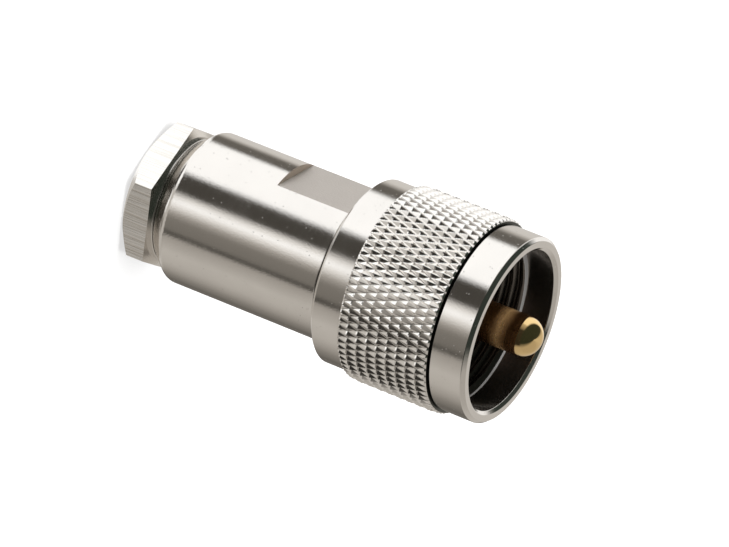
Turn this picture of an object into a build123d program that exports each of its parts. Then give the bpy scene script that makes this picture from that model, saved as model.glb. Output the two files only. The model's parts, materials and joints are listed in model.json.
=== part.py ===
from build123d import *
import math
import os

# UHF cable plug: a coupling nut with a diamond knurl turns on a slim plug body, and a hexagonal
# clamp nut at the rear grips the cable. It stands on the clamp nut's rear face, so z = 0 is there
# and +Z runs along the axis to the domed centre pin. All sizes are in millimetres.

# Clearances that the fits share
running_gap = 0.06       # radial, where a piece turns or slides on another
end_gap = 0.05           # axial, where a moving piece meets its seat
seat_gap = 0.02          # where fixed pieces sit against each other
cut_margin = 1.0         # how far a cutting shape reaches past the surface that it cuts

# Clamp nut
nut_sides = 6
nut_flat_inset = 0.87            # flats of the hexagon behind the plug body's outside
nut_hex_height = 2.90
nut_face_inset = 0.35            # edge of the round rear face inside the flats
nut_corner_angle = 37.0          # slope of the rear chamfer, in degrees
nut_collar_radius = 6.35         # low round collar in front of the hexagon
nut_collar_height = 0.30
nut_shank_wall = 1.60
nut_shank_length = 5.75
nut_relief_depth = 0.45
nut_relief_width = 0.80
nut_mouth_chamfer = 0.35
nut_clocking = 64.7              # angle from +Y to a hexagon corner, in degrees
cable_bore_radius = 3.85         # passes a 7.3 mm cable jacket, also in the washer and gasket

# Slip washer, gasket and braid clamp, stacked in front of the clamp nut
washer_thickness = 0.80
gasket_length = 3.00
gasket_land = 0.12               # flat rim on each side of the gasket's groove
clamp_flange_length = 2.10
clamp_sleeve_length = 1.40
clamp_bore_radius = 3.05
clamp_bore_countersink = 0.35

# Plug body
body_wall = 2.16                 # round the clamp nut's thread
body_rear_gap = 0.10             # between the clamp nut's collar and the body
body_taper_depth = 1.42
body_taper_length = 1.65
body_rear_round = 0.80           # where the taper meets the full diameter
body_shoulder_z = 22.55          # front end of the full diameter
body_shoulder_round = 0.70
wrench_flat_depth = 0.82
wrench_flat_z = 14.10            # rear wall of the two flats
neck_step = 1.37                 # radial
neck_length = 6.65
flange_step = 0.90               # radial
flange_thickness = 1.40
flange_chamfer = 0.25
spigot_wall = 0.73               # round the front insulator
spigot_length = 1.20
spigot_chamfer = 0.25
key_count = 4                    # small teeth on the flange that bite the socket's rim
key_width = 1.10
key_height = 0.45
seat_step = 0.91                 # radial, from the rear bore to the middle bore

# Insulators and centre contact
front_insulator_radius = 5.20
insulator_recess = 0.10          # front insulator's face behind the spigot's rim
insulator_chamfer = 0.20
rear_insulator_thickness = 1.50
pin_radius = 1.98
pin_reach = 8.90                 # straight part of the pin past the front insulator
pin_dome_height = 1.75
contact_collar_radius = 2.70
contact_collar_length = 2.10
contact_shaft_radius = 2.15      # inside the front insulator
cup_radius = 1.60
cup_length = 4.20
cup_bore_radius = 0.95
cup_bore_depth = 3.60
cup_hole_radius = 0.45

# Coupling nut and the ring that holds it on the neck
nut_travel = 2.40                # free play of the coupling nut along the axis
ring_thickness = 1.00
ring_lip = 0.40                  # how far the ring stands out past the nut's rear bore
ring_slot_width = 1.60
coupling_length = 16.75
collar_radius = 9.27
collar_length = 3.25
collar_edge_chamfer = 0.25
rim_wall = 1.30                  # radial, from the mouth to the front rim's outside
rim_length = 3.90
rim_chamfer_width = 0.35
rim_chamfer_length = 0.45
rim_groove_depth = 0.28
rim_groove_width = 0.36
mouth_radius = 8.00              # clears the socket's 15.875 mm thread
mouth_chamfer = 0.12
mouth_depth = 3.05
thread_minor_radius = 7.45       # 5/8-24 internal thread, at its crests
thread_lead_in = 0.55
thread_length = 7.60
rear_bore_gap = 0.10             # radial, round the body's flange

# Diamond knurl
knurl_crest_radius = 9.83
knurl_root_radius = 9.56
knurl_starts = 77                # grooves round the nut in each direction
knurl_pitch = 2.13               # length of one diamond along the axis

# Widths and places along the axis that follow from the sizes above
nut_shank_radius = cable_bore_radius + nut_shank_wall
stack_bore_radius = nut_shank_radius + running_gap
body_radius = stack_bore_radius + body_wall
body_rear_radius = body_radius - body_taper_depth
mid_bore_radius = stack_bore_radius - seat_step
neck_radius = body_radius - neck_step
flange_radius = neck_radius + flange_step
rear_bore_radius = flange_radius + rear_bore_gap
spigot_radius = front_insulator_radius + seat_gap + spigot_wall
rim_radius = mouth_radius + rim_wall
nut_across_flats = 2 * (body_radius - nut_flat_inset)
wrench_across_flats = 2 * (body_radius - wrench_flat_depth)
ring_bore_radius = neck_radius + running_gap
ring_outer_radius = rear_bore_radius + ring_lip
ring_band = ring_outer_radius - ring_bore_radius
nut_collar_z = nut_hex_height + nut_collar_height
nose_z = nut_collar_z + nut_shank_length
washer_z = nose_z + end_gap
gasket_z = washer_z + washer_thickness + seat_gap
clamp_z = gasket_z + gasket_length + seat_gap
clamp_seat_z = clamp_z + clamp_flange_length
body_rear_z = nut_collar_z + body_rear_gap
clamp_radius = stack_bore_radius - seat_gap
clamp_sleeve_radius = mid_bore_radius - seat_gap
seat_cone_length = clamp_radius - clamp_sleeve_radius
rear_insulator_z = clamp_seat_z + seat_cone_length + clamp_sleeve_length + seat_gap
collar_z = rear_insulator_z + rear_insulator_thickness + seat_gap
front_insulator_z = collar_z + contact_collar_length + seat_gap
neck_end_z = body_shoulder_z + neck_length
flange_front_z = neck_end_z + flange_thickness
spigot_z = flange_front_z + spigot_length
front_insulator_end = spigot_z - insulator_recess
coupling_z = body_shoulder_z + 2 * end_gap
ring_z = neck_end_z - end_gap - nut_travel - ring_thickness
ring_groove_radius = ring_outer_radius + running_gap
knurl_core_radius = (ring_groove_radius + knurl_root_radius) / 2
mouth_z = coupling_z + coupling_length
knurl_z = coupling_z + collar_length
knurl_end_z = mouth_z - rim_length
pin_end_z = front_insulator_end + pin_reach

os.makedirs("parts", exist_ok=True)


def ring_section(inner, outer, low, high):
    """A rectangle in the XZ plane that a full revolve turns into a ring."""
    with Locations(((inner + outer) / 2, (low + high) / 2)):
        Rectangle(outer - inner, high - low)


def turned(points):
    """A closed outline in the XZ plane, filled, from (radius, z) corners."""
    with BuildLine() as outline:
        Polyline(*points, close=True)
    make_face(outline.edges())


# Clamp nut: hexagon with a domed rear edge, then a threaded shank with a relief groove
with BuildPart() as clamp_nut:
    with BuildSketch():
        RegularPolygon(nut_across_flats / 2, nut_sides, major_radius=False, rotation=90 + nut_clocking)
    extrude(amount=nut_hex_height)
    corner_radius = nut_across_flats / 2 / math.cos(math.pi / nut_sides)
    rear_radius = nut_across_flats / 2 - nut_face_inset
    corner_chamfer = (corner_radius - rear_radius) * math.tan(math.radians(nut_corner_angle))
    with BuildSketch(Plane.XZ):
        turned([(0, 0), (rear_radius, 0), (corner_radius, corner_chamfer),
                (corner_radius, nut_hex_height), (0, nut_hex_height)])
    revolve(axis=Axis.Z, mode=Mode.INTERSECT)
    with BuildSketch(Plane.XY.offset(nut_hex_height)):
        Circle(nut_collar_radius)
    extrude(amount=nut_collar_height)
    with BuildSketch(Plane.XY.offset(nut_collar_z)):
        Circle(nut_shank_radius)
    extrude(amount=nut_shank_length)
    chamfer(clamp_nut.faces().sort_by(Axis.Z)[-1].edges(), nut_mouth_chamfer)
    with BuildSketch(Plane.XZ):
        ring_section(nut_shank_radius - nut_relief_depth, nut_shank_radius + cut_margin,
                     nut_collar_z, nut_collar_z + nut_relief_width)
    revolve(axis=Axis.Z, mode=Mode.SUBTRACT)
    Hole(cable_bore_radius)
    rear_rims = clamp_nut.faces().sort_by(Axis.Z)[0].edges().filter_by(GeomType.CIRCLE)
    chamfer(rear_rims.sort_by(SortBy.RADIUS)[0], nut_mouth_chamfer)
clamp_nut.part.label = "clamp_nut"
export_step(clamp_nut.part, "parts/clamp_nut.step")

# Slip washer: the clamp nut turns against it, so that the gasket isn't twisted
with BuildPart() as slip_washer:
    with BuildSketch(Plane.XZ):
        ring_section(cable_bore_radius, clamp_radius - seat_gap, washer_z, washer_z + washer_thickness)
    revolve(axis=Axis.Z)
slip_washer.part.label = "slip_washer"
export_step(slip_washer.part, "parts/slip_washer.step")

# Gasket: soft ring with a groove in its front face that the braid clamp's ridge presses into
groove_radius = (cable_bore_radius + clamp_radius) / 2
gasket_groove_depth = clamp_radius - groove_radius - gasket_land
with BuildPart() as gasket:
    with BuildSketch(Plane.XZ):
        gasket_front = gasket_z + gasket_length
        turned([(cable_bore_radius, gasket_z), (clamp_radius, gasket_z), (clamp_radius, gasket_front),
                (groove_radius + gasket_groove_depth, gasket_front),
                (groove_radius, gasket_front - gasket_groove_depth),
                (groove_radius - gasket_groove_depth, gasket_front),
                (cable_bore_radius, gasket_front)])
    revolve(axis=Axis.Z)
gasket.part.label = "gasket"
export_step(gasket.part, "parts/gasket.step")

# Braid clamp: a flanged sleeve whose cone traps the braid against the body's seat
with BuildPart() as braid_clamp:
    with BuildSketch(Plane.XZ):
        sleeve_end = clamp_seat_z + seat_cone_length + clamp_sleeve_length
        turned([(clamp_bore_radius, clamp_z), (groove_radius - gasket_groove_depth, clamp_z),
                (groove_radius, clamp_z - gasket_groove_depth),
                (groove_radius + gasket_groove_depth, clamp_z), (clamp_radius, clamp_z),
                (clamp_radius, clamp_seat_z), (clamp_sleeve_radius, clamp_seat_z + seat_cone_length),
                (clamp_sleeve_radius, sleeve_end), (clamp_bore_radius, sleeve_end)])
    revolve(axis=Axis.Z)
    chamfer(braid_clamp.edges().filter_by(GeomType.CIRCLE).group_by(SortBy.RADIUS)[0],
            clamp_bore_countersink)
braid_clamp.part.label = "braid_clamp"
export_step(braid_clamp.part, "parts/braid_clamp.step")

# Rear insulator: a plain washer round the solder cup
with BuildPart() as rear_insulator:
    with BuildSketch(Plane.XZ):
        ring_section(cup_radius + seat_gap, clamp_sleeve_radius, rear_insulator_z,
                     rear_insulator_z + rear_insulator_thickness)
    revolve(axis=Axis.Z)
rear_insulator.part.label = "rear_insulator"
export_step(rear_insulator.part, "parts/rear_insulator.step")

# Centre contact: solder cup, collar held between the insulators, and a pin with a domed end
with BuildPart() as centre_contact:
    cup_z = collar_z - cup_length
    dome_radius = (pin_radius ** 2 + pin_dome_height ** 2) / (2 * pin_dome_height)
    dome_centre = pin_end_z + pin_dome_height - dome_radius
    dome_start = math.degrees(math.atan2(pin_end_z - dome_centre, pin_radius))
    with BuildSketch(Plane.XZ):
        with BuildLine():
            Polyline((0, pin_end_z + pin_dome_height), (0, cup_z), (cup_radius, cup_z),
                     (cup_radius, collar_z), (contact_collar_radius, collar_z),
                     (contact_collar_radius, collar_z + contact_collar_length),
                     (contact_shaft_radius, collar_z + contact_collar_length),
                     (contact_shaft_radius, front_insulator_end), (pin_radius, front_insulator_end),
                     (pin_radius, pin_end_z))
            CenterArc((0, dome_centre), dome_radius, dome_start, 90 - dome_start)
        make_face()
    revolve(axis=Axis.Z)
    with Locations(Plane((0, 0, cup_z), z_dir=(0, 0, -1))):
        Hole(cup_bore_radius, depth=cup_bore_depth)
    with BuildSketch(Plane.YZ):
        with Locations((0, cup_z + cup_bore_depth / 2)):
            Circle(cup_hole_radius)
    extrude(amount=cup_radius + cut_margin, mode=Mode.SUBTRACT)
centre_contact.part.label = "centre_contact"
export_step(centre_contact.part, "parts/centre_contact.step")

# Front insulator: fills the body's nose and holds the pin on the axis
with BuildPart() as front_insulator:
    with BuildSketch(Plane.XZ):
        ring_section(contact_shaft_radius + seat_gap, front_insulator_radius,
                     front_insulator_z, front_insulator_end)
    revolve(axis=Axis.Z)
    chamfer(front_insulator.edges().filter_by(GeomType.CIRCLE).group_by(SortBy.RADIUS)[-1],
            insulator_chamfer)
front_insulator.part.label = "front_insulator"
export_step(front_insulator.part, "parts/front_insulator.step")

# Plug body: one turned piece with two wrench flats, a neck for the coupling nut and a keyed flange
with BuildPart() as body:
    insulator_bore = front_insulator_radius + seat_gap
    with BuildSketch(Plane.XZ):
        turned([(stack_bore_radius, body_rear_z), (body_rear_radius, body_rear_z),
                (body_radius, body_rear_z + body_taper_length), (body_radius, body_shoulder_z),
                (neck_radius, body_shoulder_z), (neck_radius, neck_end_z), (flange_radius, neck_end_z),
                (flange_radius, flange_front_z), (spigot_radius, flange_front_z), (spigot_radius, spigot_z),
                (insulator_bore, spigot_z), (insulator_bore, front_insulator_z - seat_gap),
                (mid_bore_radius, front_insulator_z - seat_gap),
                (mid_bore_radius, clamp_seat_z + seat_cone_length + seat_gap),
                (stack_bore_radius, clamp_seat_z + seat_gap)])
    revolve(axis=Axis.Z)
    rims = body.edges().filter_by(GeomType.CIRCLE)
    widest = rims.filter_by(lambda e: abs(e.radius - body_radius) < 0.001)
    fillet(widest.sort_by(Axis.Z)[-1], body_shoulder_round)
    rims = body.edges().filter_by(GeomType.CIRCLE)
    widest = rims.filter_by(lambda e: abs(e.radius - body_radius) < 0.001)
    fillet(widest.sort_by(Axis.Z)[0], body_rear_round)
    rims = body.edges().filter_by(GeomType.CIRCLE)
    chamfer(rims.filter_by(lambda e: abs(e.radius - flange_radius) < 0.001), flange_chamfer)
    chamfer(rims.filter_by(lambda e: abs(e.radius - spigot_radius) < 0.001).sort_by(Axis.Z)[-1],
            spigot_chamfer)
    for side in (1, -1):
        flat_length = body_shoulder_z + cut_margin - wrench_flat_z
        with BuildSketch(Plane.XY.offset(wrench_flat_z)):
            with Locations((0, side * (wrench_across_flats / 2 + body_radius / 2))):
                Rectangle(2 * body_radius, body_radius)
        extrude(amount=flat_length, mode=Mode.SUBTRACT)
    with BuildSketch(Plane.XY.offset(flange_front_z)):
        with PolarLocations((spigot_radius + flange_radius - flange_chamfer) / 2, key_count):
            Rectangle(flange_radius - flange_chamfer - spigot_radius + 2 * seat_gap, key_width)
    extrude(amount=key_height)
body.part.label = "body"
export_step(body.part, "parts/body.step")

# Retaining ring: an open spring ring that sits in the coupling nut and stops at the flange
with BuildPart() as retaining_ring:
    with BuildSketch(Plane.XY.offset(ring_z)):
        Circle(ring_outer_radius)
        Circle(ring_bore_radius, mode=Mode.SUBTRACT)
        with Locations((0, -ring_outer_radius)):
            Rectangle(ring_slot_width, 2 * (ring_band + cut_margin), mode=Mode.SUBTRACT)
    extrude(amount=ring_thickness)
retaining_ring.part.label = "retaining_ring"
export_step(retaining_ring.part, "parts/retaining_ring.step")


def knurl_point(row, step):
    """A corner of the knurl: rows run along the axis, steps are half grooves round it. Both ends stay low."""
    angle = math.pi * step / knurl_starts
    raised = (step - row) % 2 and 0 < row < knurl_rows
    radius = knurl_crest_radius if raised else knurl_root_radius
    return Vector(radius * math.cos(angle), radius * math.sin(angle), knurl_z + row * knurl_row_height)


def knurl_sleeve(inner_radius):
    """A closed ring whose outside is pyramids left between two crossing sets of V grooves."""
    facets = []
    for row in range(knurl_rows + 1):
        for groove in range(knurl_starts):
            left = 2 * groove + row % 2
            crest = knurl_point(row, left + 1)
            for next_row in (row - 1, row + 1):
                if 0 <= next_row <= knurl_rows:
                    valley = knurl_point(next_row, left + 1)
                    facets.append(Face(Wire.make_polygon([crest, knurl_point(row, left), valley])))
                    facets.append(Face(Wire.make_polygon([crest, valley, knurl_point(row, left + 2)])))
    for row in (0, knurl_rows):
        outline = [knurl_point(row, step) for step in range(2 * knurl_starts)]
        rim = Wire.make_circle(inner_radius, Plane.XY.offset(knurl_z + row * knurl_row_height))
        facets.append(Face(Wire.make_polygon(outline), [rim]))
    bore = Solid.make_cylinder(inner_radius, knurl_end_z - knurl_z, Plane.XY.offset(knurl_z))
    facets += bore.faces().filter_by(GeomType.CYLINDER)
    return Solid(Shell(facets))


# Coupling nut: plain collar, diamond knurl, groove, front rim and the bores of the screwed mouth
knurl_rows = round(2 * (knurl_end_z - knurl_z) / knurl_pitch)
knurl_row_height = (knurl_end_z - knurl_z) / knurl_rows
with BuildPart() as coupling_nut:
    thread_start = mouth_z - mouth_depth
    thread_end = thread_start - thread_lead_in - thread_length
    groove_floor = rim_radius - rim_groove_depth
    with BuildSketch(Plane.XZ):
        turned([(rear_bore_radius, coupling_z), (collar_radius - collar_edge_chamfer, coupling_z),
                (collar_radius, coupling_z + collar_edge_chamfer), (collar_radius, knurl_z),
                (knurl_core_radius, knurl_z), (knurl_core_radius, knurl_end_z),
                (groove_floor, knurl_end_z), (groove_floor, knurl_end_z + rim_groove_width),
                (rim_radius, knurl_end_z + rim_groove_width), (rim_radius, mouth_z - rim_chamfer_length),
                (rim_radius - rim_chamfer_width, mouth_z), (mouth_radius + mouth_chamfer, mouth_z),
                (mouth_radius, mouth_z - mouth_chamfer), (mouth_radius, thread_start),
                (thread_minor_radius, thread_start - thread_lead_in), (thread_minor_radius, thread_end),
                (rear_bore_radius, thread_end)])
    revolve(axis=Axis.Z)
    with BuildSketch(Plane.XZ):
        ring_section(rear_bore_radius - cut_margin, ring_groove_radius, ring_z - end_gap,
                     ring_z + ring_thickness + end_gap)
    revolve(axis=Axis.Z, mode=Mode.SUBTRACT)
    add(knurl_sleeve(knurl_core_radius))
coupling_nut.part.label = "coupling_nut"
export_step(coupling_nut.part, "parts/coupling_nut.step")

print("overall length", round(pin_end_z + pin_dome_height, 2), "knurl rows", knurl_rows)
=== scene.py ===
import json
import math

import bmesh
import bpy
import numpy as np
from mathutils import Matrix, Vector


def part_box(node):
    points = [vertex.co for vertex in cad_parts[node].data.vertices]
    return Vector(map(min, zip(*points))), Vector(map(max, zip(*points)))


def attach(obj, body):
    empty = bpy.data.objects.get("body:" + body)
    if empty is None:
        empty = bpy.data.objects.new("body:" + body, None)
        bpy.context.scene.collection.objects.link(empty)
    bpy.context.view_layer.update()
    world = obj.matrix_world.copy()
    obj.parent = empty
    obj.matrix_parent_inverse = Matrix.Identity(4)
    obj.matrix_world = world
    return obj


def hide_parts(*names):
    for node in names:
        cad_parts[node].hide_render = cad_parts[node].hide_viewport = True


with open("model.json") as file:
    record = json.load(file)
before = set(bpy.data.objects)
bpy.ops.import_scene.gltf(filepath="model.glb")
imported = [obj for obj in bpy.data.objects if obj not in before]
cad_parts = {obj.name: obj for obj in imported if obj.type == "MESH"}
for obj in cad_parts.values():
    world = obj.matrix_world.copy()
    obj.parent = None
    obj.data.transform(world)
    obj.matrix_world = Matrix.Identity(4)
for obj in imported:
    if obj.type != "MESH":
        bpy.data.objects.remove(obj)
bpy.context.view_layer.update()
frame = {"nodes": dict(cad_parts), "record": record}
MM = 0.001


def heights(node):
    """The lowest and highest place of a CAD node, in mm."""
    return [corner.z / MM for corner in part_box(node)]


def mount_radius(name):
    """The radius in mm that the record gives for a mount."""
    return next(mount["dims"]["r_mm"] for mount in frame["record"]["mounts"] if mount["name"] == name)


# Camera, from a fit to the circles in the photo. Angles in degrees, azimuth counted from +X, distance in mm
focal_px = 5998.67
photo_width_px, photo_height_px = 729, 547
mouth_px = (513.84, 331.71)                             # the middle of the coupling nut's front in the photo
mouth_distance = 560.87
camera_azimuth, camera_elevation, camera_roll = 153.2, 22.965, 111.742
sensor_width = 36

# Coupling nut from back to front, in mm. A chamfer has its size across the axis and along it
nut_low, nut_high = heights("coupling_nut")
nut_bore = 7.30
collar_radius, collar_length, collar_chamfer = 9.27, 3.25, 0.25
knurl_crest, knurl_foot, knurl_root = 9.83, 9.56, 9.54
knurl_length, knurl_starts, knurl_rows = 9.60, 77, 9
groove_radius, groove_width = 8.90, 0.18
rim_radius, rim_chamfer, rim_edge = 9.30, (0.31, 0.37), 0.06
mouth_radius, mouth_depth, mouth_chamfer = 8.00, 3.04, (0.36, 0.28)
knurl_low = nut_low + collar_length
knurl_high = knurl_low + knurl_length
groove_high = knurl_high + groove_width

# The coupling nut's thread, 24 turns to the inch
thread_crest, thread_root = mount_radius("coupling_thread"), 7.94
thread_low, thread_high = 28.25, nut_high - mouth_depth
thread_pitch, thread_lead = 1.0583, 0.18

# Clamp nut from back to front, in mm
clamp_high = heights("clamp_nut")[1]
hexagon_high = 3.00
clamp_collar_radius, clamp_collar_edge = 6.35, 0.10
clamp_collar_low, clamp_collar_high = 2.90, 3.27        # its foot is hidden inside the hexagon
neck_radius, neck_high = 5.00, 3.90
shank_crest, shank_root, shank_pitch, shank_chamfer = 5.45, 4.95, 0.75, 0.35
shank_low, shank_high = 3.88, clamp_high - shank_chamfer
cable_bore = mount_radius("cable_bore")

# Body and pin, in mm
flat_place, flat_low = 6.85, 14.10
polished_tip = 1.95                                     # length of the pin's bright polished end; the shaft below it has painted shade
highlight_middle, highlight_half = 38.6, 1.0                  # band of painted highlight round the pin's shaft: its middle and half width

# Finishes: texture scales per metre, and the height in metres that a bump of 1 stands for
patch_scale, grain_scale, pit_scale, plastic_scale = 260, 5200, 2600, 900
bump_height = 0.00002

# How far the limits that pick out faces lie from them, in mm: on surfaces made here, and on CAD faces
margin, coarse_margin = 0.02, 0.05


def place_camera():
    """A long lens from the fitted side, placed so that the mouth is where it is in the photo."""
    data = bpy.data.cameras.new("camera")
    data.sensor_width = sensor_width
    data.lens = focal_px * sensor_width / photo_width_px
    data.clip_start, data.clip_end = 0.01, 10
    camera = bpy.data.objects.new("camera", data)
    bpy.context.scene.collection.objects.link(camera)
    facing = (Matrix.Rotation(math.radians(camera_azimuth + 90), 4, "Z")
              @ Matrix.Rotation(math.radians(90 - camera_elevation), 4, "X")
              @ Matrix.Rotation(math.radians(camera_roll), 4, "Z"))
    across = (mouth_px[0] - photo_width_px / 2) / focal_px
    down = (mouth_px[1] - photo_height_px / 2) / focal_px
    from_camera = Vector((across, -down, -1)) * mouth_distance
    place = (Vector((0, 0, nut_high)) - facing.to_3x3() @ from_camera) * MM
    camera.matrix_world = Matrix.Translation(place) @ facing
    bpy.context.scene.camera = camera
    bpy.context.scene.view_settings.view_transform = "Standard"


def shade(colour, factor):
    return tuple(part * factor for part in colour)


def warm_grey(value):
    """A grey that is warmer the darker it is."""
    warmth = 0.10 * (1 - value)
    return value * (1 + warmth), value, value * (1 - 1.3 * warmth)


class Graph:
    """Short calls for building a node tree. An input is a number, a colour or the socket that it links to."""

    def __init__(self, owner):
        owner.use_nodes = True
        self.tree = owner.node_tree
        self.tree.nodes.clear()

    def feed(self, socket, value):
        if isinstance(value, bpy.types.NodeSocket):
            self.tree.links.new(value, socket)
        elif socket.type == "RGBA":
            socket.default_value = (*value, 1)
        else:
            socket.default_value = value

    def add(self, kind, inputs=None, **settings):
        node = self.tree.nodes.new(kind)
        for key, value in settings.items():
            setattr(node, key, value)
        for key, value in (inputs or {}).items():
            self.feed(node.inputs[key], value)
        return node

    def math(self, operation, *inputs, clamp=False):
        node = self.add("ShaderNodeMath", dict(enumerate(inputs)), operation=operation, use_clamp=clamp)
        return node.outputs[0]

    def soft_step(self, value, start, full):
        """0 where the value is before start, 1 where it is beyond full, and even between the two."""
        slope = 1 / (full - start)
        return self.math("MULTIPLY_ADD", value, slope, -start * slope, clamp=True)

    def mix(self, factor, a, b):
        return self.add("ShaderNodeMix", {0: factor, 6: a, 7: b}, data_type="RGBA").outputs[2]

    def mix_shader(self, factor, a, b):
        return self.add("ShaderNodeMixShader", {0: factor, 1: a.outputs[0], 2: b.outputs[0]})

    def ramp(self, source, stops):
        """A colour by place from 0 to 1. Each stop is a place with a grey's number or a colour."""
        node = self.add("ShaderNodeValToRGB", {0: source})
        elements = node.color_ramp.elements
        elements.remove(elements[-1])
        for number, (place, tone) in enumerate(stops):
            element = elements.new(place) if number else elements[0]
            element.position = place
            element.color = (*(tone if isinstance(tone, tuple) else warm_grey(tone)), 1)
        return node.outputs[0]

    def noise(self, place, scale, detail, stretch=(1, 1, 1)):
        stretched = self.add("ShaderNodeMapping", {"Vector": place, "Scale": stretch})
        texture = self.add("ShaderNodeTexNoise",
                           {"Vector": stretched.outputs[0], "Scale": scale, "Detail": detail})
        return texture.outputs["Fac"]


def studio_world():
    """White for the camera, soft white for dull surfaces, and bands of light and dark for mirroring ones."""
    world = bpy.data.worlds.new("studio")
    bpy.context.scene.world = world
    g = Graph(world)
    direction = g.add("ShaderNodeTexCoord").outputs["Generated"]
    turned = g.add("ShaderNodeVectorRotate", {"Vector": direction, "Angle": -math.radians(camera_azimuth)},
                   rotation_type="Z_AXIS")
    toward, side, height = g.add("ShaderNodeSeparateXYZ", {0: turned.outputs[0]}).outputs
    below = g.math("MAXIMUM", g.math("MULTIPLY", height, -1), 0)
    # the angle counts from the camera's side, and a ray that goes down is drawn towards that side
    angle = g.math("ARCTAN2", side, g.math("ADD", toward, below))
    round_place = g.math("ADD", g.math("DIVIDE", angle, 2 * math.pi), 0.5)

    def band(*stops):
        return g.ramp(round_place, [(degrees / 360 + 0.5, tone) for degrees, tone in stops])

    def past(start, full):
        """A soft step at two heights. A height is the sine of a ray's elevation."""
        return g.soft_step(height, start, full)

    # level is what upright walls mirror, steep lies below it, middle round the horizon and top above it
    level = band((-180, 0.30), (-168, 0.52), (-119, 0.56), (-111, 0.40), (-101, 0.12), (-84, 0.10),
                 (-77, 1.0), (-29, 1.0), (-23, 0.05), (-7, 0.05), (-1, 0.72), (4, 0.98), (9, 0.72),
                 (15, 0.32), (21, 0.17), (33, 0.15), (36, 0.06), (38.5, 0.06), (41, 0.30), (60, 0.44),
                 (78, 0.40), (95, 0.28), (106, 0.20), (130, 0.11), (165, 0.14), (180, 0.30))
    steep = band((-180, 0.9), (-12, 1.0), (-4, 0.46), (60, 0.40), (80, 0.50), (180, 0.5))
    middle = band((-180, 0.46), (-160, 0.80), (-150, 0.85), (-110, 0.86), (-66, 0.78), (-56, 0.38),
                  (-32, 0.16), (-24, 0.03), (60, 0.02), (76, 0.34), (150, 0.42), (180, 0.46))
    top = band((-180, 0.46), (-155, 0.46), (-140, (0.030, 0.036, 0.030)), (50, (0.022, 0.028, 0.022)),
               (80, 0.34), (150, 0.36), (180, 0.46))
    in_steep = g.math("MINIMUM", past(-0.55, -0.65), past(-0.92, -0.88))
    lower = g.mix(in_steep, level, steep)
    upper = g.mix(past(0.2143, 0.3571), middle, top)
    pattern = g.mix(past(-0.2494, -0.1195), lower, upper)
    mirrored = g.add("ShaderNodeBackground", {"Color": pattern, "Strength": 1.2})
    soft = g.add("ShaderNodeBackground", {"Color": (1, 0.99, 0.98), "Strength": 0.62})
    plain = g.add("ShaderNodeBackground", {"Color": (1, 1, 1), "Strength": 1.0})
    ray = g.add("ShaderNodeLightPath")
    lit = g.mix_shader(ray.outputs["Is Glossy Ray"], soft, mirrored)
    seen = g.mix_shader(ray.outputs["Is Camera Ray"], lit, plain)
    g.add("ShaderNodeOutputWorld", {"Surface": seen.outputs[0]})


def overhead_lamp(azimuth=-70, elevation=74, distance=0.9, target_height=0.02, size=1.3, power=26):
    """A round soft light that mirrors don't show. Its azimuth counts anticlockwise from the camera's side."""
    data = bpy.data.lights.new("overhead", "AREA")
    data.shape = "DISK"
    data.size = size
    data.energy = power
    lamp = bpy.data.objects.new("overhead", data)
    bpy.context.scene.collection.objects.link(lamp)
    round_axis, above = math.radians(camera_azimuth + azimuth), math.radians(elevation)
    direction = Vector((math.cos(above) * math.cos(round_axis), math.cos(above) * math.sin(round_axis),
                        math.sin(above)))
    lamp.location = Vector((0, 0, target_height)) + direction * distance
    lamp.rotation_euler = (-direction).to_track_quat("-Z", "Y").to_euler()
    lamp.visible_glossy = False


def floor_material():
    """White paper that looks brighter to the camera than it is, so that only the soft shadow shows."""
    material = bpy.data.materials.new("floor_paper")
    g = Graph(material)
    paper = g.add("ShaderNodeBsdfDiffuse", {"Color": (0.80, 0.80, 0.80)})
    glow = g.add("ShaderNodeEmission", {"Strength": 1.0})
    ray = g.add("ShaderNodeLightPath")
    lifted = g.mix_shader(g.math("MULTIPLY", ray.outputs["Is Camera Ray"], 0.60), paper, glow)
    g.add("ShaderNodeOutputMaterial", {"Surface": lifted.outputs[0]})
    return material


def make_floor(radius=0.6, gap=0.00002):
    """A round floor just below the part, in metres."""
    mesh = bpy.data.meshes.new("floor")
    bm = bmesh.new()
    bmesh.ops.create_circle(bm, cap_ends=True, radius=radius, segments=96)
    bm.to_mesh(mesh)
    bm.free()
    floor = bpy.data.objects.new("floor", mesh)
    bpy.context.scene.collection.objects.link(floor)
    floor.location = (0, 0, -gap)
    floor.visible_glossy = False
    mesh.materials.append(floor_material())
    # the plug stands on its clamp nut, so the floor goes with it when the nut backs out
    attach(floor, "clamp")


def surface(g, tone, rough, height, metallic=0.0, strength=1.0):
    """Ends a material's graph with its shader and bump."""
    bump = g.add("ShaderNodeBump", {"Height": height, "Distance": bump_height, "Strength": strength})
    shader = g.add("ShaderNodeBsdfPrincipled", {"Base Color": tone, "Roughness": rough, "Metallic": metallic,
                                                "Normal": bump.outputs[0]})
    g.add("ShaderNodeOutputMaterial", {"Surface": shader.outputs[0]})


def scattered_pits(g, place):
    """1 in the middle of a few cells of a Voronoi pattern, and 0 elsewhere."""
    cells = g.add("ShaderNodeTexVoronoi", {"Vector": place, "Scale": pit_scale})
    chance = g.add("ShaderNodeSeparateColor", {0: cells.outputs["Color"]}).outputs[0]
    dot = g.soft_step(cells.outputs["Distance"], 0.1375, 0.0125)
    return g.math("MULTIPLY", dot, g.soft_step(chance, 0.65, 0.65 + 1 / 6))


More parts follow.
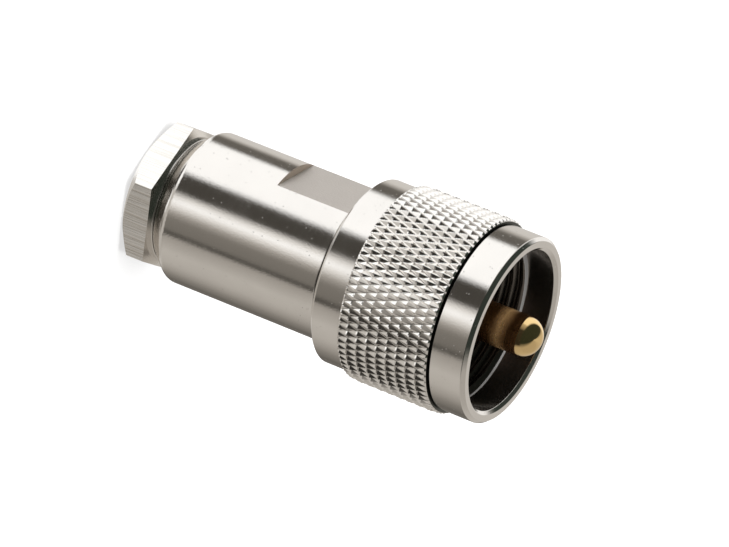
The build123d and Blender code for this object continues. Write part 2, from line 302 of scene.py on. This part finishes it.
def painted_highlight_mask(g, place, middle, half, patches, fine):
    """1 in a band of painted highlight that runs unevenly round a piece, broken by fine dull spots, and 0
    elsewhere.
    """
    height = g.add("ShaderNodeSeparateXYZ", {0: place}).outputs[2]
    wander = g.math("MULTIPLY_ADD", patches, 1.6 * MM, -0.8 * MM)
    away = g.math("ABSOLUTE", g.math("SUBTRACT", g.math("ADD", height, wander), middle * MM))
    near = g.math("SUBTRACT", 1.0, g.math("DIVIDE", away, half * MM), clamp=True)
    return g.math("MULTIPLY", near, g.math("MULTIPLY_ADD", fine, 0.9, 0.55, clamp=True))


def metal(name, colour, roughness, metallic=1.0, turning=0.0, grain=0.0, dull=0.08, pits=0.0, streaks=None,
          painted_highlight=None):
    """A metal with the tool's fine rings, a soft grain, duller patches and small pits, each by its own
    strength. metallic is lower where the surface scatters light. streaks is the colour between the lines of a
    surface that was milled along the axis. painted_highlight is the colour, middle and half width (mm) of a
    band of painted highlight, where the metallic is also lower."""
    material = bpy.data.materials.new(name)
    g = Graph(material)
    place = g.add("ShaderNodeTexCoord").outputs["Object"]
    patches = g.noise(place, patch_scale, 5)
    rings = g.noise(place, grain_scale, 4, stretch=(0.06, 0.06, 1))
    fine = g.noise(place, grain_scale, 3)
    tone = g.mix(g.math("MULTIPLY", patches, 0.5), shade(colour, 1.05), shade(colour, 0.90))
    rough = g.math("MULTIPLY_ADD", g.math("SUBTRACT", patches, 0.5), dull * 2, roughness)
    rough = g.math("MULTIPLY_ADD", g.math("SUBTRACT", rings, 0.5), dull, rough)
    height = g.math("MULTIPLY_ADD", rings, turning, g.math("MULTIPLY", fine, grain))
    if pits:
        pit = scattered_pits(g, place)
        height = g.math("MULTIPLY_ADD", pit, -pits, height)
        rough = g.math("MULTIPLY_ADD", pit, 0.25, rough)
    if streaks:
        lines = g.noise(place, grain_scale, 4, stretch=(1, 1, 0.02))
        tone = g.mix(g.soft_step(lines, 0.35, 0.60), streaks, tone)
        height = g.math("ADD", lines, height)
    # painted highlight: a band of lighter colour and lower metallic
    if painted_highlight:
        bright, middle, half = painted_highlight
        highlit = painted_highlight_mask(g, place, middle, half, patches, fine)
        tone = g.mix(highlit, tone, bright)
        metallic = g.math("MULTIPLY_ADD", highlit, -0.20, metallic)
    surface(g, tone, rough, height, metallic)
    return material


def plastic(name, colour, roughness):
    """A moulded or machined plastic or rubber with a fine grain."""
    material = bpy.data.materials.new(name)
    g = Graph(material)
    fine = g.noise(g.add("ShaderNodeTexCoord").outputs["Object"], plastic_scale, 5)
    tone = g.mix(fine, shade(colour, 1.04), shade(colour, 0.90))
    surface(g, tone, g.math("MULTIPLY_ADD", fine, 0.1, roughness), fine, strength=0.5)
    return material


def kept_faces(node, drop):
    """Corners, faces and corner normals of a CAD node, without the faces that drop(radius, z) picks out by
    their middle in mm."""
    mesh = frame["nodes"][node].data
    used, faces, normals = {}, [], []
    for face in mesh.polygons:
        middle = face.center
        if drop(math.hypot(middle.x, middle.y) / MM, middle.z / MM):
            continue
        faces.append(tuple(used.setdefault(i, len(used)) for i in face.vertices))
        normals += [tuple(mesh.corner_normals[i].vector) for i in face.loop_indices]
    return [tuple(mesh.vertices[i].co) for i in used], faces, normals


def thread_grid(crest, root, low, high, pitch, lead=0.0, around=160, per_turn=14):
    """A right-handed 60 degree thread as a grid between two heights, in millimetres. The cut goes from the
    crest radius to the root radius, runs out at the low end, and opens to a cone over the length lead at the
    high end."""
    crest_flat, root_flat, run_out = 0.12, 0.14, 0.7        # in turns
    reach = 0.02                                            # how far to each side the slope is measured
    rows = max(2, round((high - low) / pitch * per_turn))
    side = -1 if root > crest else 1

    def radius(angle, z):
        place = (z / pitch - angle / (2 * math.pi)) % 1.0
        flank = (1 - abs(2 * place - 1) - crest_flat) / (1 - crest_flat - root_flat)
        cut = min(1.0, max(0.0, flank)) * min(1.0, max(0.0, (z - low) / (run_out * pitch)))
        if lead:
            cut = max(cut, (z - (high - lead)) / lead)
        return crest + (root - crest) * cut

    points, grid_normals = [], []
    for row in range(rows + 1):
        z = low + (high - low) * row / rows
        for step in range(around):
            angle = 2 * math.pi * step / around
            r = radius(angle, z)
            points.append((r * math.cos(angle) * MM, r * math.sin(angle) * MM, z * MM))
            slope = (radius(angle, z + reach) - radius(angle, z - reach)) / (2 * reach)
            normal = Vector((math.cos(angle), math.sin(angle), -slope)).normalized() * side
            grid_normals.append(tuple(normal))
    faces, normals = [], []
    for row in range(rows):
        for step in range(around):
            a, b = row * around + step, row * around + (step + 1) % around
            face = (a, b, b + around, a + around)[::side]
            faces.append(face)
            normals += [grid_normals[i] for i in face]
    return points, faces, normals


def knurl_grid(around=14, along=7, shallow=0.16, end_slope=1.1):
    """The coupling nut's diamond knurl as a fine grid: two crossing sets of V grooves, one of them shallower,
    so that the walls of the deeper set run on as unbroken lines. Its end rows fall to the foot radius."""
    columns, lines = knurl_starts * around, knurl_rows * along
    angle, z = np.meshgrid(np.arange(columns) * 2 * math.pi / columns,
                           np.linspace(knurl_low, knurl_high, lines + 1))
    place_around = knurl_starts * angle / (2 * math.pi)
    place_along = (z - knurl_low) / knurl_length * knurl_rows / 2

    def ridge(place):
        return 1 - np.abs(2 * (place % 1.0) - 1)

    deep = ridge(place_around - place_along)
    raised = shallow + (1 - shallow) * ridge(place_around + place_along)
    radius = knurl_root + (knurl_crest - knurl_root) * np.minimum(deep, raised)
    radius = np.minimum(radius, knurl_foot + np.minimum(z - knurl_low, knurl_high - z) * end_slope)
    points = np.stack([radius * np.cos(angle), radius * np.sin(angle), z], -1).reshape(-1, 3) * MM
    index = np.arange((lines + 1) * columns).reshape(lines + 1, columns)
    turned = np.roll(index, -1, 1)
    faces = np.stack([index[:-1], turned[:-1], turned[1:], index[1:]], -1).reshape(-1, 4)
    corner = points[faces]
    normal = np.cross(corner[:, 2] - corner[:, 0], corner[:, 3] - corner[:, 1])
    normal /= np.linalg.norm(normal, axis=-1, keepdims=True)
    return points.tolist(), faces.tolist(), np.repeat(normal, 4, axis=0).tolist()


def lathe(profile, edge=0.05, around=192, arc=4):
    """A turned surface from (radius, z) corners in millimetres, its corners rounded by the edge radius. The
    surface faces left of the way that the profile runs."""
    corner_share = 0.45                 # the most of a side that one rounded corner takes
    corners = [np.array(point, float) for point in profile]
    line = []
    for number, corner in enumerate(corners):
        before = corners[number - 1] - corner if number else None
        after = corners[number + 1] - corner if number < len(corners) - 1 else None
        if before is None or after is None:
            way = after if before is None else -before
            line.append((corner, np.array((-way[1], way[0])) / np.hypot(*way)))
            continue
        room = min(edge, corner_share * np.hypot(*before), corner_share * np.hypot(*after))
        start = corner + before / np.hypot(*before) * room
        end = corner + after / np.hypot(*after) * room
        normal_in = np.array((before[1], -before[0])) / np.hypot(*before)
        normal_out = np.array((-after[1], after[0])) / np.hypot(*after)
        for step in range(arc + 1):
            t = step / arc
            point = (1 - t) ** 2 * start + 2 * t * (1 - t) * corner + t ** 2 * end
            normal = (1 - t) * normal_in + t * normal_out
            line.append((point, normal / np.hypot(*normal)))
    angle = np.arange(around) * 2 * math.pi / around
    ring = np.stack([np.cos(angle), np.sin(angle)], -1)
    points, normals = [], []
    for (radius, z), (outward, upward) in line:
        points += [(radius * x * MM, radius * y * MM, z * MM) for x, y in ring]
        normals += [(outward * x, outward * y, upward) for x, y in ring]
    faces, corner_normals = [], []
    for row in range(len(line) - 1):
        for step in range(around):
            a, b = row * around + step, row * around + (step + 1) % around
            face = (a, a + around, b + around, b)
            faces.append(face)
            corner_normals += [normals[i] for i in face]
    return points, faces, corner_normals


def joined(name, *parts):
    """One mesh object from several (points, faces, corner normals)."""
    points, faces, normals = [], [], []
    for part_points, part_faces, part_normals in parts:
        start = len(points)
        points += part_points
        faces += [tuple(i + start for i in face) for face in part_faces]
        normals += part_normals
    mesh = bpy.data.meshes.new(name)
    mesh.from_pydata(points, [], faces)
    mesh.polygons.foreach_set("use_smooth", [True] * len(faces))
    mesh.normals_split_custom_set(normals)
    mesh.update()
    piece = bpy.data.objects.new(name, mesh)
    bpy.context.scene.collection.objects.link(piece)
    return piece


nickel = (0.81, 0.785, 0.75)
body_finish = metal("body_nickel", nickel, 0.13, turning=0.22, grain=0.20, pits=2.2)
milled = metal("milled_nickel", (0.78, 0.74, 0.70), 0.60, grain=1.6, dull=0.12)
milled_end = metal("milled_end_nickel", (0.76, 0.66, 0.57), 0.38, grain=1.2, dull=0.12)
nut_finish = metal("nut_nickel", nickel, 0.12, turning=0.14, grain=0.14, pits=1.4)
# painted light: the knurl is a brighter copy of the nut's nickel
knurl_painted_light = metal("knurl_nickel_painted_light", (0.90, 0.88, 0.85), 0.10, grain=0.03)
# painted shade: darker copies of the nickel for the mouth's wall, its thread and the step at its front, and
# darkest for the groove before the rim
inside_painted_shade = metal("inside_nickel_painted_shade", (0.47, 0.43, 0.385), 0.22, grain=0.06, dull=0.04)
thread_painted_shade = metal("thread_nickel_painted_shade", (0.15, 0.135, 0.12), 0.24, grain=0.06, dull=0.04)
step_painted_shade = metal("step_nickel_painted_shade", (0.17, 0.165, 0.16), 0.46, metallic=0.30, grain=0.3)
groove_painted_shade = metal("groove_nickel_painted_shade", (0.07, 0.075, 0.065), 0.35, grain=0.2)
clamp_finish = metal("clamp_nickel", nickel, 0.16, turning=0.1, grain=0.1)
# painted light: the hexagon's side faces are a brighter copy of the nickel, so that the lit face reads white;
# its streaks are milling lines
hexagon_painted_light = metal("hexagon_nickel_painted_light", (0.95, 0.94, 0.92), 0.19, grain=0.1, streaks=(0.82, 0.79, 0.74))
gold = metal("contact_gold", (0.93, 0.68, 0.33), 0.07)
# painted shade and highlight: the shaft's gold is darker than the tip's because it stands deep in the mouth,
# with a band of painted highlight across it
satin_gold_painted_light = metal("satin_gold_painted_light", (0.52, 0.27, 0.11), 0.26, turning=0.3, grain=0.5, dull=0.2,
                   painted_highlight=((0.90, 0.55, 0.24), highlight_middle, highlight_half))
# painted shade: the insulators are near black so that the inside of the mouth stays dark
insulator_painted_shade = plastic("insulator", (0.045, 0.035, 0.03), 0.42)
finishes = {
    "body": [body_finish, milled, milled_end],
    "coupling_nut": [nut_finish, knurl_painted_light, inside_painted_shade, groove_painted_shade, thread_painted_shade, step_painted_shade],
    "clamp_nut": [clamp_finish, hexagon_painted_light],
    "slip_washer": [metal("washer_nickel", nickel, 0.30, turning=0.4)],
    "retaining_ring": [metal("spring_bronze", (0.70, 0.46, 0.24), 0.30)],
    "braid_clamp": [metal("plain_brass", (0.78, 0.62, 0.33), 0.28, turning=0.5)],
    "centre_contact": [gold, satin_gold_painted_light],
    "gasket": [plastic("gasket_rubber", (0.05, 0.05, 0.05), 0.55)],
    "front_insulator": [insulator_painted_shade],
    "rear_insulator": [insulator_painted_shade],
}


def give_finishes(piece, node):
    piece.data.materials.clear()
    for material in finishes[node]:
        piece.data.materials.append(material)


def finished(piece, node, body):
    """Gives a piece the finishes of the node that it stands for, and ties it to the frame."""
    give_finishes(piece, node)
    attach(piece, body)
    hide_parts(node)


def choose(piece, finish, test):
    """Gives a finish to the faces whose (middle in mm, normal) pass the test."""
    index = list(piece.data.materials).index(finish)
    for face in piece.data.polygons:
        if test(face.center / MM, face.normal):
            face.material_index = index


def between(inner, outer, low, high):
    """A test for faces between two radii and two heights, in mm."""
    return lambda middle, normal: inner < math.hypot(middle.x, middle.y) < outer and low < middle.z < high


def coupling_nut():
    """The CAD's inner faces, with a cut knurl, a real thread in the mouth and softly broken edges."""

    def remade(r, z):
        in_mouth = r > thread_crest - coarse_margin and z > thread_low
        at_back = r > nut_bore + coarse_margin and z < nut_low + coarse_margin
        return r > groove_radius or in_mouth or at_back

    collar = lathe([
        (knurl_foot, knurl_low), (collar_radius, knurl_low), (collar_radius, nut_low + collar_chamfer),
        (collar_radius - collar_chamfer, nut_low), (nut_bore, nut_low)])
    bevel_low = nut_high - mouth_chamfer[1]
    rim = lathe([
        (thread_root, thread_high), (mouth_radius, thread_high), (mouth_radius, bevel_low),
        (mouth_radius + mouth_chamfer[0], nut_high), (rim_radius - rim_chamfer[0], nut_high),
        (rim_radius, nut_high - rim_chamfer[1]), (rim_radius, groove_high), (groove_radius, groove_high),
        (groove_radius, knurl_high), (knurl_foot, knurl_high)], edge=rim_edge)
    thread = thread_grid(thread_crest, thread_root, thread_low, thread_high, thread_pitch, lead=thread_lead)
    kept = kept_faces("coupling_nut", remade)
    nut = joined("coupling_nut_threaded", kept, collar, knurl_grid(), rim, thread)
    finished(nut, "coupling_nut", "coupling")
    under_rim, mouth_wall = rim_radius - margin, mouth_radius + margin
    inside_low, lead_low = thread_low - margin, thread_high - thread_lead
    on_knurl = between(under_rim, math.inf, knurl_low - margin, knurl_high + margin)
    in_groove = between(groove_radius - margin, under_rim, knurl_high - margin, groove_high + margin)
    # the knurl gets the brighter nickel with painted light
    choose(nut, knurl_painted_light, on_knurl)
    # the mouth's wall, thread and step and the groove get nickel with painted shade
    choose(nut, inside_painted_shade, between(0, mouth_wall, inside_low, bevel_low - rim_edge))
    choose(nut, thread_painted_shade, between(0, mouth_wall, inside_low, lead_low))
    choose(nut, step_painted_shade, between(0, mouth_radius - margin, lead_low, thread_high + margin))
    choose(nut, groove_painted_shade, in_groove)


def clamp_nut():
    """The CAD's hexagon and bore, with a turned collar and a real thread on its shank."""

    def remade(r, z):
        return z > hexagon_high and (r > cable_bore + coarse_margin or z > clamp_high - coarse_margin)

    collar = lathe([
        (clamp_collar_radius, clamp_collar_low), (clamp_collar_radius, clamp_collar_high),
        (neck_radius, clamp_collar_high), (neck_radius, neck_high)], edge=clamp_collar_edge)
    thread = thread_grid(shank_crest, shank_root, shank_low, shank_high, shank_pitch)
    front = lathe([
        (shank_crest, shank_high), (shank_crest - shank_chamfer, clamp_high), (cable_bore, clamp_high)])
    clamp = joined("clamp_nut_threaded", kept_faces("clamp_nut", remade), collar, thread, front)
    finished(clamp, "clamp_nut", "clamp")
    on_hexagon = between(clamp_collar_radius + coarse_margin, math.inf, 0, hexagon_high - coarse_margin)
    most_lean = 0.2                     # along the axis, of a side face's normal

    def on_side(middle, normal):
        return abs(normal.z) < most_lean and on_hexagon(middle, normal)

    # the hexagon's side faces get the nickel with painted light
    choose(clamp, hexagon_painted_light, on_side)


def body_and_pin():
    """Milled wrench flats and end walls, and a satin pin shaft with painted shade and a painted highlight."""
    body, pin = frame["nodes"]["body"], frame["nodes"]["centre_contact"]
    sideways, along_axis = 0.999, 0.9   # the least of the normals of the flats and of their end walls
    satin_high = heights("centre_contact")[1] - polished_tip

    def on_flat(middle, normal):
        at_flat = abs(middle.y) > flat_place - coarse_margin and middle.z > flat_low - coarse_margin
        return at_flat and abs(normal.y) > sideways

    def on_end_wall(middle, normal):
        at_end = abs(middle.y) > flat_place and abs(middle.z - flat_low) < coarse_margin
        return at_end and abs(normal.z) > along_axis

    choose(body, milled, on_flat)
    choose(body, milled_end, on_end_wall)
    # the shaft below the polished tip gets the gold with painted shade and a painted highlight
    choose(pin, satin_gold_painted_light, lambda middle, normal: middle.z < satin_high)


for name in finishes:
    give_finishes(frame["nodes"][name], name)
coupling_nut()
clamp_nut()
body_and_pin()
place_camera()
studio_world()
make_floor()
overhead_lamp()
